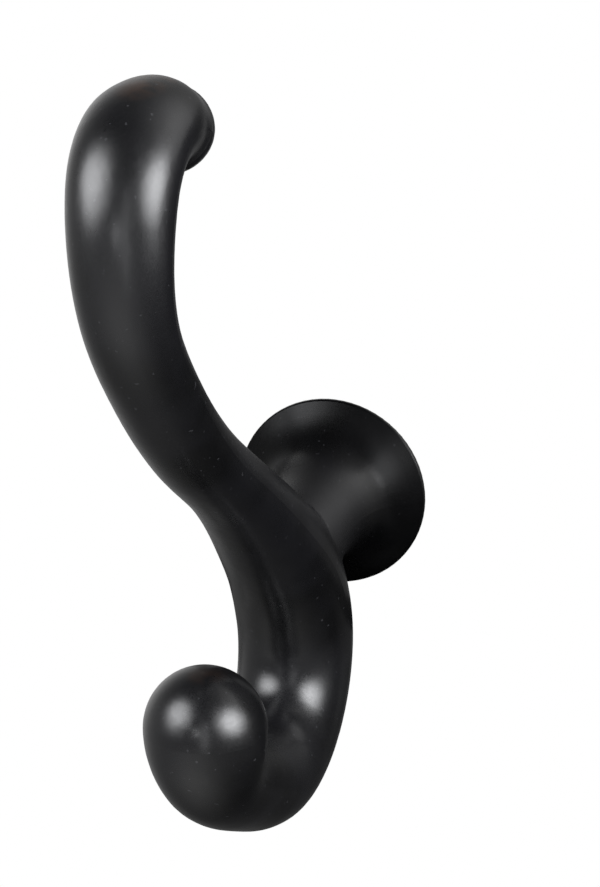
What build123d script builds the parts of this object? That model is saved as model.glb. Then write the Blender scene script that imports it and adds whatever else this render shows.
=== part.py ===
from build123d import *
from math import ceil, cos, pi, radians, sin, tan
import os

# Robe hook: a cast S-shaped rod on a trumpet foot, drilled and tapped for a hanger bolt.
#
# Millimetres and degrees. The wall is the plane Y = 0, the hook stands out of it
# towards -Y, and +Z is up. The origin is the middle of the foot's back, at the
# mouth of the tapped hole.

# Foot: a trumpet that flares from the neck to a thin round rim against the wall
foot_diameter = 32.0
rim_thickness = 1.0
rim_edge_radius = 0.4
rim_slope = 30.0  # slope of the flare off the wall, at the rim
flare_pull = 8.0  # how far from the wall the flare straightens into the neck
neck_diameter = 16.0
neck_shoulder = 1.3  # how far the widest part of the rod's back stands out past the neck
neck_blend_radius = 3.5  # fillet between the neck and the back of the rod

# Tapped hole for an M6 hanger bolt, drawn at the diameter of its tapping drill
bolt_diameter = 6.0
thread_pitch = 1.0
thread_depth = 14.0
drill_point_angle = 118.0

# Rod: a bar bent in one upright plane, which the neck meets on its middle line
neck_reach = 30.0  # wall to the rod's middle line, along the neck's axis
rod_slope = 44.0  # rise of the rod above the horizontal, where the neck meets it

# Arm, from the neck up to its tip: radius and angle of each bend of the middle line
arm_root_bend = 200.0
arm_root_angle = 11.0
arm_sweep_bend = 116.0
arm_sweep_angle = 19.0
shoulder_bend = 25.0
shoulder_angle = 53.5
crown_bend = 9.4
crown_angle = 64.5
tip_bend = 11.3
tip_angle = 39.5

# Hook, from the neck down, forward and up to its knob
back_bend = 34.0
back_angle = 28.0
bottom_bend = 15.4
bottom_angle = 128.0
shank_bend = 90.0
shank_angle = 12.5
knob_bend = 11.8
knob_angle = 58.0

# Rod sections, each at the end of the bend that it is named after. A width is across
# the hook, and a depth is in the rod's plane: the arm and the knob are oval.
tip_width = 13.7
tip_depth = 12.3
tip_dome = 6.5  # how far the rounded tip stands out past its last bend
crown_width = 15.1
crown_depth = 12.1
shoulder_width = 12.9  # where the sweep passes into the shoulder
shoulder_depth = 10.0
waist_width = 12.8  # where the root passes into the sweep
waist_depth = 11.2
back_diameter = neck_diameter + 2 * neck_shoulder
shank_diameter = 15.7
knob_width = 18.4
knob_depth = 17.4
knob_dome = 9.4

turn_per_section = 14.0  # largest bend between two sections of the rod
length_per_section = 9.0

# The rod's plane, with its x axis out from the wall and its y axis up
side_plane = Plane(origin=(0, 0, 0), x_dir=(0, -1, 0), z_dir=(-1, 0, 0))
sideways = (1, 0, 0)  # square to the rod's plane
neck_point = (neck_reach, 0)
slope_x = cos(radians(rod_slope))
slope_y = sin(radians(rod_slope))

with BuildLine(side_plane) as arm_line:
    arm_root = JernArc(neck_point, (slope_x, slope_y), arm_root_bend, -arm_root_angle)
    arm_sweep = JernArc(arm_root @ 1, arm_root % 1, arm_sweep_bend, arm_sweep_angle)
    shoulder = JernArc(arm_sweep @ 1, arm_sweep % 1, shoulder_bend, shoulder_angle)
    crown = JernArc(shoulder @ 1, shoulder % 1, crown_bend, crown_angle)
    tip = JernArc(crown @ 1, crown % 1, tip_bend, tip_angle)

with BuildLine(side_plane) as hook_line:
    back = JernArc(neck_point, (-slope_x, -slope_y), back_bend, back_angle)
    bottom = JernArc(back @ 1, back % 1, bottom_bend, bottom_angle)
    shank = JernArc(bottom @ 1, bottom % 1, shank_bend, shank_angle)
    knob = JernArc(shank @ 1, shank % 1, knob_bend, knob_angle)

arm_bends = [arm_root, arm_sweep, shoulder, crown, tip]
hook_bends = [back, bottom, shank, knob]


def length_to(bends, last):
    """Length of the middle line from the neck to the end of the last bend."""
    count = bends.index(last) + 1
    return sum(bend.length for bend in bends[:count])


# Lengths along the rod are negative up the arm and positive down the hook
stations = [
    (-length_to(arm_bends, tip), tip_width, tip_depth),
    (-length_to(arm_bends, crown), crown_width, crown_depth),
    (-length_to(arm_bends, arm_sweep), shoulder_width, shoulder_depth),
    (-length_to(arm_bends, arm_root), waist_width, waist_depth),
    (length_to(hook_bends, back), back_diameter, back_diameter),
    (length_to(hook_bends, shank), shank_diameter, shank_diameter),
    (length_to(hook_bends, knob), knob_width, knob_depth),
]


def rod_size(place):
    """Width and depth at a length along the rod, easing from each station to the next."""
    for (start, *start_size), (end, *end_size) in zip(stations, stations[1:]):
        if place <= end:
            share = max(0.0, (place - start) / (end - start))
            ease = (1 - cos(pi * share)) / 2
            return [a + (b - a) * ease for a, b in zip(start_size, end_size)]
    return stations[-1][1:]


def rod_sections(bends, direction):
    """Places along the rod and the planes square to it, for one run of bends."""
    sections = []
    covered = 0.0
    for bend in bends:
        turn = (bend % 0).get_angle(bend % 1)
        count = ceil(max(turn / turn_per_section, bend.length / length_per_section))
        for step in range(1, count + 1):
            share = step / count
            place = direction * (covered + share * bend.length)
            along = (bend % share) * direction
            sections.append((place, Plane(bend @ share, sideways, along)))
        covered += bend.length
    return sections


neck_section = (0.0, Plane(back @ 0, sideways, back % 0))
arm_sections = rod_sections(arm_bends, -1)
hook_sections = rod_sections(hook_bends, 1)
all_sections = arm_sections[::-1] + [neck_section] + hook_sections

tip_end = Plane(tip @ 1, sideways, tip % 1)
knob_end = Plane(knob @ 1, sideways, knob % 1)


def rod_dome(width, depth, height):
    """Half an ellipsoid, which closes an end of the rod."""
    with BuildPart() as dome:
        Sphere(1, arc_size1=0, align=(Align.CENTER, Align.CENTER, Align.MIN))
        scale(by=(width / 2, depth / 2, height))
    return dome.part


tip_cap = rod_dome(tip_width, tip_depth, tip_dome)
knob_cap = rod_dome(knob_width, knob_depth, knob_dome)

# The foot's half profile has its x axis out from the wall and its y axis across it
foot_plane = Plane(origin=(0, 0, 0), x_dir=(0, -1, 0), z_dir=(0, 0, 1))
foot_radius = foot_diameter / 2
neck_radius = neck_diameter / 2
rim_run = (foot_radius - neck_radius) * tan(radians(rim_slope))
core_radius = (bolt_diameter - thread_pitch) / 2
drill_point = core_radius / tan(radians(drill_point_angle / 2))

with BuildPart() as hook:
    for place, plane in all_sections:
        width, depth = rod_size(place)
        with BuildSketch(plane):
            Ellipse(width / 2, depth / 2)
    loft()
    for end_plane, cap in ((tip_end, tip_cap), (knob_end, knob_cap)):
        with Locations(end_plane):
            add(cap)

    rod_to_wall = -hook.part.bounding_box().max.Y

    # Foot and neck, which ends on the rod's middle line
    with BuildSketch(foot_plane):
        with BuildLine():
            back_face = Line((0, 0), (0, foot_radius))
            rim = Line(back_face @ 1, (rim_thickness, foot_radius))
            flare = Bezier(
                rim @ 1,
                (rim_thickness + rim_run, neck_radius),
                (flare_pull, neck_radius),
                (neck_reach, neck_radius),
            )
            neck_end = Line(flare @ 1, (neck_reach, 0))
            Line(neck_end @ 1, back_face @ 0)
        make_face()
    revolve(axis=Axis.Y)

    # The blend round the neck is no thicker than the gap between the rod and the rim
    blend_limit = (rod_to_wall - rim_thickness) / 2 - rim_edge_radius
    fillet(hook.edges(Select.NEW), min(neck_blend_radius, blend_limit))
    rim_edges = hook.edges().filter_by(GeomType.CIRCLE).sort_by(Axis.Y)[-2:]
    fillet(rim_edges, rim_edge_radius)

    # Tapped hole with the point that the drill leaves
    with BuildSketch(foot_plane):
        with BuildLine():
            Polyline(
                (0, 0),
                (0, core_radius),
                (thread_depth, core_radius),
                (thread_depth + drill_point, 0),
                close=True,
            )
        make_face()
    revolve(axis=Axis.Y, mode=Mode.SUBTRACT)

hook.part.label = "hook"
os.makedirs("parts", exist_ok=True)
export_step(hook.part, "parts/hook.step")
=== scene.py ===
from math import cos, pi, radians, sin

import bpy
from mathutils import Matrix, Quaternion, Vector

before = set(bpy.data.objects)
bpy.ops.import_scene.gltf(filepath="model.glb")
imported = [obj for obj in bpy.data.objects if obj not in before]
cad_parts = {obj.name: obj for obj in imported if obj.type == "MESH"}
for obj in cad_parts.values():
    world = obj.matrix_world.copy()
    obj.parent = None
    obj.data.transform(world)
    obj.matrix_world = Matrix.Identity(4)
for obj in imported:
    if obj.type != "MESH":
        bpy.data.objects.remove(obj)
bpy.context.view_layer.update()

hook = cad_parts["hook"]

MM = 0.001

# Camera: in front of the hook, a little to the right and above
CAMERA_AZIMUTH = 17.4
CAMERA_ELEVATION = 19.18
CAMERA_DISTANCE = 0.4311
CAMERA_TARGET = Vector((-0.00569, 0.0, 0.00757))
FOCAL_LENGTH = 105.5
SENSOR_HEIGHT = 36.0
NEAR_CLIP = 0.01

# Satin black coat. A scale is in patches per metre, and a range is the part of a noise
# pattern that is stretched from none to all of its effect.
DRIFT_SCALE = 55.0
DRIFT_RANGE = (0.35, 0.65)
NEUTRAL_BLACK = (0.0022, 0.0022, 0.0024, 1)
COOL_BLACK = (0.0050, 0.0050, 0.0058, 1)
COAT_SCALE = 90.0
COAT_RANGE = (0.3, 0.7)
SMOOTHEST = 0.275
ROUGHEST = 0.325
GRAIN_SCALE = 2600.0
GRAIN_RANGE = (0.3, 0.7)
GRAIN_ROUGHNESS = 0.02
GRAIN_DEPTH = 0.004 * MM
GRAIN_STRENGTH = 0.35
PEEL_SCALE = 420.0
PEEL_DEPTH = 0.02 * MM
PEEL_STRENGTH = 0.2

# Wear: where the surface faces up, on the parts that stand out farthest from the wall
WEAR_SCALE = 300.0
WEAR_RANGE = (0.35, 0.6)
WEAR_UPWARD = (0.88, 1.0)
WEAR_FULL_Y = -0.075
WEAR_NONE_Y = -0.060
WORN_BROWN = (0.022, 0.012, 0.008, 1)

# A few specks of dust
DUST_SCALE = 1500.0
DUST_RANGE = (0.80, 0.84)
DUST_GREY = (0.02, 0.02, 0.022, 1)

# Marks of the lathe on the foot's back
RING_PITCH = 0.5 * MM
RING_DEPTH = 0.006 * MM
RING_BACKWARD = (0.95, 0.99)

FLOOR_HEIGHT = -0.6
FLOOR_SIZE = 60.0

# Lights stand close round the front of the hook, each aimed at one of these points
KEY_CENTRE = Vector((0, -0.08, 0.03))
KNOB_CENTRE = Vector((0, -0.095, -0.03))
COOL = (0.965, 0.975, 1.0)

# An umbrella is a stack of round lights: share of its full size, and share of its radiance.
# Each stands a little farther off than the last, because lights in one plane hide each other.
UMBRELLA_STEPS = [(0.4, 0.3), (0.6, 0.25), (0.8, 0.25), (1.0, 0.2)]
UMBRELLA_GAP = 0.01

# Cards that shade the foot: two opposite corners, and the share of light that passes through
NETS = {
    "net_right": ((0.019, -0.018, -0.05), (0.16, -0.018, 0.09), 0.08),
    "net_above": ((-0.03, -0.022, 0.024), (0.03, 0.008, 0.024), 0.22),
    "net_left": ((-0.021, -0.02, -0.03), (-0.021, 0.008, 0.024), 0.3),
    "net_below": ((-0.03, -0.008, -0.021), (0.03, 0.008, -0.021), 0.0),
}

# The studio round the hook, as soft lobes of light: azimuth, elevation and strength
LOBE_SHARPNESS = 6.0
SURROUNDINGS = [
    (-135, 0, 1.0),  # pale wall behind on the left, which edges the rod
    (120, 35, 1.6),  # brighter wall behind on the right, which edges the rod and the curled tip
    (-80, -10, 0.3),  # side wall on the left
    (55, -5, 0.25),  # side wall on the right
    (-10, -50, 0.9),  # table top in front, which lights the hook from below
]


def direction(azimuth, elevation):
    """Unit vector at an azimuth to the right of straight ahead and an elevation, in degrees."""
    azimuth = radians(azimuth)
    elevation = radians(elevation)
    return Vector((
        sin(azimuth) * cos(elevation),
        -cos(azimuth) * cos(elevation),
        sin(elevation),
    ))


def add_object(name, data):
    item = bpy.data.objects.new(name, data)
    bpy.context.scene.collection.objects.link(item)
    return item


def aim(item, target, roll=0.0):
    """Turns a camera or light towards a point, then round its own line of sight."""
    turn = (item.location - target).to_track_quat("Z", "Y")
    item.rotation_euler = (turn @ Quaternion((0, 0, 1), radians(roll))).to_euler()


def add_camera():
    camera_data = bpy.data.cameras.new("camera")
    camera_data.sensor_fit = "VERTICAL"
    camera_data.sensor_height = SENSOR_HEIGHT
    camera_data.lens = FOCAL_LENGTH
    camera_data.clip_start = NEAR_CLIP
    camera = add_object("camera", camera_data)
    camera.location = CAMERA_TARGET + CAMERA_DISTANCE * direction(CAMERA_AZIMUTH, CAMERA_ELEVATION)
    aim(camera, CAMERA_TARGET)
    bpy.context.scene.camera = camera


def add_softbox(name, centre, azimuth, elevation, distance, width, height, radiance, roll=0.0):
    """A round light that faces the centre; a mirror in the hook would show its radiance."""
    area = pi / 4 * width * height
    light_data = bpy.data.lights.new(name, "AREA")
    light_data.shape = "ELLIPSE"
    light_data.size = width
    light_data.size_y = height
    light_data.energy = pi * area * radiance
    light_data.color = COOL
    light = add_object(name, light_data)
    light.location = centre + distance * direction(azimuth, elevation)
    light.visible_camera = False
    aim(light, centre, roll)


def add_umbrella(name, centre, azimuth, elevation, distance, width, height, radiance, roll=0.0):
    """A light that is bright in the middle and fades in steps towards its edge."""
    for number, (size, share) in enumerate(UMBRELLA_STEPS):
        add_softbox(
            f"{name}_{number}",
            centre,
            azimuth,
            elevation,
            distance * (1 + number * UMBRELLA_GAP),
            size * width,
            size * height,
            share * radiance,
            roll,
        )


def add_lights():
    add_umbrella(
        "left_key", KEY_CENTRE,
        azimuth=-45, elevation=25, distance=0.35, width=0.38, height=0.38, radiance=12.0,
    )
    add_umbrella(
        "right_key", KEY_CENTRE,
        azimuth=70, elevation=18, distance=0.45, width=0.55, height=0.40, radiance=17.5, roll=-15,
    )
    add_softbox(
        "front_key", KEY_CENTRE,
        azimuth=15, elevation=0, distance=0.4, width=0.10, height=0.40, radiance=1.8,
    )
    add_softbox(
        "knob_key", KNOB_CENTRE,
        azimuth=0, elevation=15, distance=0.25, width=0.04, height=0.04, radiance=9.0,
    )


class Nodes:
    """Short calls for building the node tree of a material or world."""

    def __init__(self, owner):
        owner.use_nodes = True
        self.tree = owner.node_tree
        self.tree.nodes.clear()

    def add(self, kind, settings=None, **inputs):
        """Adds a node; an input is a number, a colour, or another node's output."""
        node = self.tree.nodes.new(kind)
        for name, value in (settings or {}).items():
            setattr(node, name, value)
        for name, value in inputs.items():
            self.put(node.inputs[name.replace("_", " ")], value)
        return node

    def put(self, socket, value):
        if isinstance(value, bpy.types.NodeSocket):
            self.tree.links.new(value, socket)
        else:
            socket.default_value = value

    def noise(self, place, scale, detail=2.0):
        node = self.add("ShaderNodeTexNoise", Vector=place, Scale=scale, Detail=detail)
        return node.outputs["Fac"]

    def remap(self, value, low, high, to_low=0.0, to_high=1.0):
        """Eases from one range of values to another, and holds the ends."""
        node = self.add(
            "ShaderNodeMapRange",
            {"clamp": True, "interpolation_type": "SMOOTHSTEP"},
            Value=value,
            From_Min=low,
            From_Max=high,
            To_Min=to_low,
            To_Max=to_high,
        )
        return node.outputs["Result"]

    def math(self, operation, first, second=None):
        node = self.add("ShaderNodeMath", {"operation": operation})
        self.put(node.inputs[0], first)
        if second is not None:
            self.put(node.inputs[1], second)
        return node.outputs["Value"]

    def mix_colour(self, factor, first, second):
        node = self.add("ShaderNodeMix", {"data_type": "RGBA"})
        self.put(node.inputs["Factor"], factor)
        self.put(node.inputs["A"], first)
        self.put(node.inputs["B"], second)
        return node.outputs["Result"]

    def bump(self, height, distance, strength, normal=None):
        node = self.add("ShaderNodeBump", Height=height, Distance=distance, Strength=strength)
        if normal is not None:
            self.tree.links.new(normal, node.inputs["Normal"])
        return node.outputs["Normal"]


def satin_black():
    """Satin black coat: near black, with a soft sheen, a faint orange peel and a fine grain."""
    material = bpy.data.materials.new("satin_black")
    nodes = Nodes(material)
    place = nodes.add("ShaderNodeTexCoord").outputs["Object"]
    spot = nodes.add("ShaderNodeSeparateXYZ", Vector=place)
    surface_normal = nodes.add("ShaderNodeNewGeometry").outputs["Normal"]
    facing = nodes.add("ShaderNodeSeparateXYZ", Vector=surface_normal)

    # Colour drifts between a neutral and a cooler black
    drift = nodes.remap(nodes.noise(place, DRIFT_SCALE, 3.0), *DRIFT_RANGE)
    colour = nodes.mix_colour(drift, NEUTRAL_BLACK, COOL_BLACK)

    # The coat is worn thin and brownish on top of the knob and the crown
    upward = nodes.remap(facing.outputs["Z"], *WEAR_UPWARD)
    outward = nodes.remap(spot.outputs["Y"], WEAR_FULL_Y, WEAR_NONE_Y, 1.0, 0.0)
    worn_patches = nodes.remap(nodes.noise(place, WEAR_SCALE, 4.0), *WEAR_RANGE)
    worn = nodes.math("MULTIPLY", nodes.math("MULTIPLY", upward, outward), worn_patches)
    colour = nodes.mix_colour(worn, colour, WORN_BROWN)

    dust = nodes.remap(nodes.noise(place, DUST_SCALE, 0.0), *DUST_RANGE)
    colour = nodes.mix_colour(dust, colour, DUST_GREY)

    # Roughness drifts with the thickness of the coat, and is speckled by the grain
    coat = nodes.remap(nodes.noise(place, COAT_SCALE, 4.0), *COAT_RANGE, SMOOTHEST, ROUGHEST)
    grain = nodes.noise(place, GRAIN_SCALE)
    speckle = nodes.remap(grain, *GRAIN_RANGE, -GRAIN_ROUGHNESS, GRAIN_ROUGHNESS)
    roughness = nodes.math("ADD", coat, speckle)

    normal = nodes.bump(nodes.noise(place, PEEL_SCALE), PEEL_DEPTH, PEEL_STRENGTH)
    normal = nodes.bump(grain, GRAIN_DEPTH, GRAIN_STRENGTH, normal)

    # The foot's back was faced on a lathe, which left fine rings round the hole
    across = nodes.add("ShaderNodeCombineXYZ", X=spot.outputs["X"], Z=spot.outputs["Z"])
    radius = nodes.add("ShaderNodeVectorMath", {"operation": "LENGTH"})
    nodes.put(radius.inputs[0], across.outputs["Vector"])
    turns = nodes.math("MULTIPLY", radius.outputs["Value"], 2 * pi / RING_PITCH)
    backward = nodes.remap(facing.outputs["Y"], *RING_BACKWARD)
    rings = nodes.math("MULTIPLY", nodes.math("SINE", turns), backward)
    normal = nodes.bump(rings, RING_DEPTH, 1.0, normal)

    shader = nodes.add(
        "ShaderNodeBsdfPrincipled", Base_Color=colour, Roughness=roughness, Normal=normal
    )
    nodes.add("ShaderNodeOutputMaterial", Surface=shader.outputs["BSDF"])
    return material


def add_card(name, low, high, material):
    """A flat rectangle between two opposite corners, which agree along one axis."""
    side = 0 if low[0] != high[0] else 1
    second = Vector(low)
    second[side] = high[side]
    fourth = Vector(high)
    fourth[side] = low[side]
    mesh = bpy.data.meshes.new(name)
    mesh.from_pydata([low, second, high, fourth], [], [(0, 1, 2, 3)])
    mesh.materials.append(material)
    return add_object(name, mesh)


def floor_white():
    material = bpy.data.materials.new("floor_white")
    nodes = Nodes(material)
    light = nodes.add("ShaderNodeEmission", Color=(1, 1, 1, 1), Strength=1.0)
    nodes.add("ShaderNodeOutputMaterial", Surface=light.outputs["Emission"])
    return material


def add_floor():
    """A white floor that only the camera sees, so it neither lights nor shades the hook."""
    half = FLOOR_SIZE / 2
    low = (-half, -half, FLOOR_HEIGHT)
    high = (half, half, FLOOR_HEIGHT)
    floor = add_card("floor", low, high, floor_white())
    floor.visible_diffuse = False
    floor.visible_glossy = False
    floor.visible_transmission = False
    floor.visible_volume_scatter = False
    floor.visible_shadow = False


def net_cloth(name, passed):
    """Lets a share of the light through and reflects none."""
    material = bpy.data.materials.new(name)
    nodes = Nodes(material)
    cloth = nodes.add("ShaderNodeBsdfTransparent", Color=(passed, passed, passed, 1))
    nodes.add("ShaderNodeOutputMaterial", Surface=cloth.outputs["BSDF"])
    return material


def add_nets():
    """The foot is darker than the rod, so it stands in the shade of cards the camera can't see."""
    for name, (low, high, passed) in NETS.items():
        net = add_card(name, low, high, net_cloth(name, passed))
        net.visible_camera = False


def add_surroundings():
    """Soft lobes of light round the hook, on a ground that is white to the camera."""
    world = bpy.data.worlds.new("studio")
    bpy.context.scene.world = world
    nodes = Nodes(world)
    place = nodes.add("ShaderNodeTexCoord").outputs["Generated"]
    total = 0.0
    for azimuth, elevation, peak in SURROUNDINGS:
        facing = nodes.add("ShaderNodeVectorMath", {"operation": "DOT_PRODUCT"})
        nodes.put(facing.inputs[0], place)
        facing.inputs[1].default_value = direction(azimuth, elevation)
        away = nodes.math("SUBTRACT", facing.outputs["Value"], 1.0)
        falloff = nodes.math("MULTIPLY", away, LOBE_SHARPNESS)
        lobe = nodes.math("MULTIPLY", nodes.math("EXPONENT", falloff), peak)
        total = nodes.math("ADD", lobe, total)
    seen = nodes.add("ShaderNodeLightPath").outputs["Is Camera Ray"]
    strength = nodes.math("MAXIMUM", total, seen)
    background = nodes.add("ShaderNodeBackground", Color=(1, 1, 1, 1), Strength=strength)
    nodes.add("ShaderNodeOutputWorld", Surface=background.outputs["Background"])


hook.data.materials.clear()
hook.data.materials.append(satin_black())

add_camera()
add_lights()
add_nets()
add_floor()
add_surroundings()

bpy.context.scene.view_settings.view_transform = "Standard"
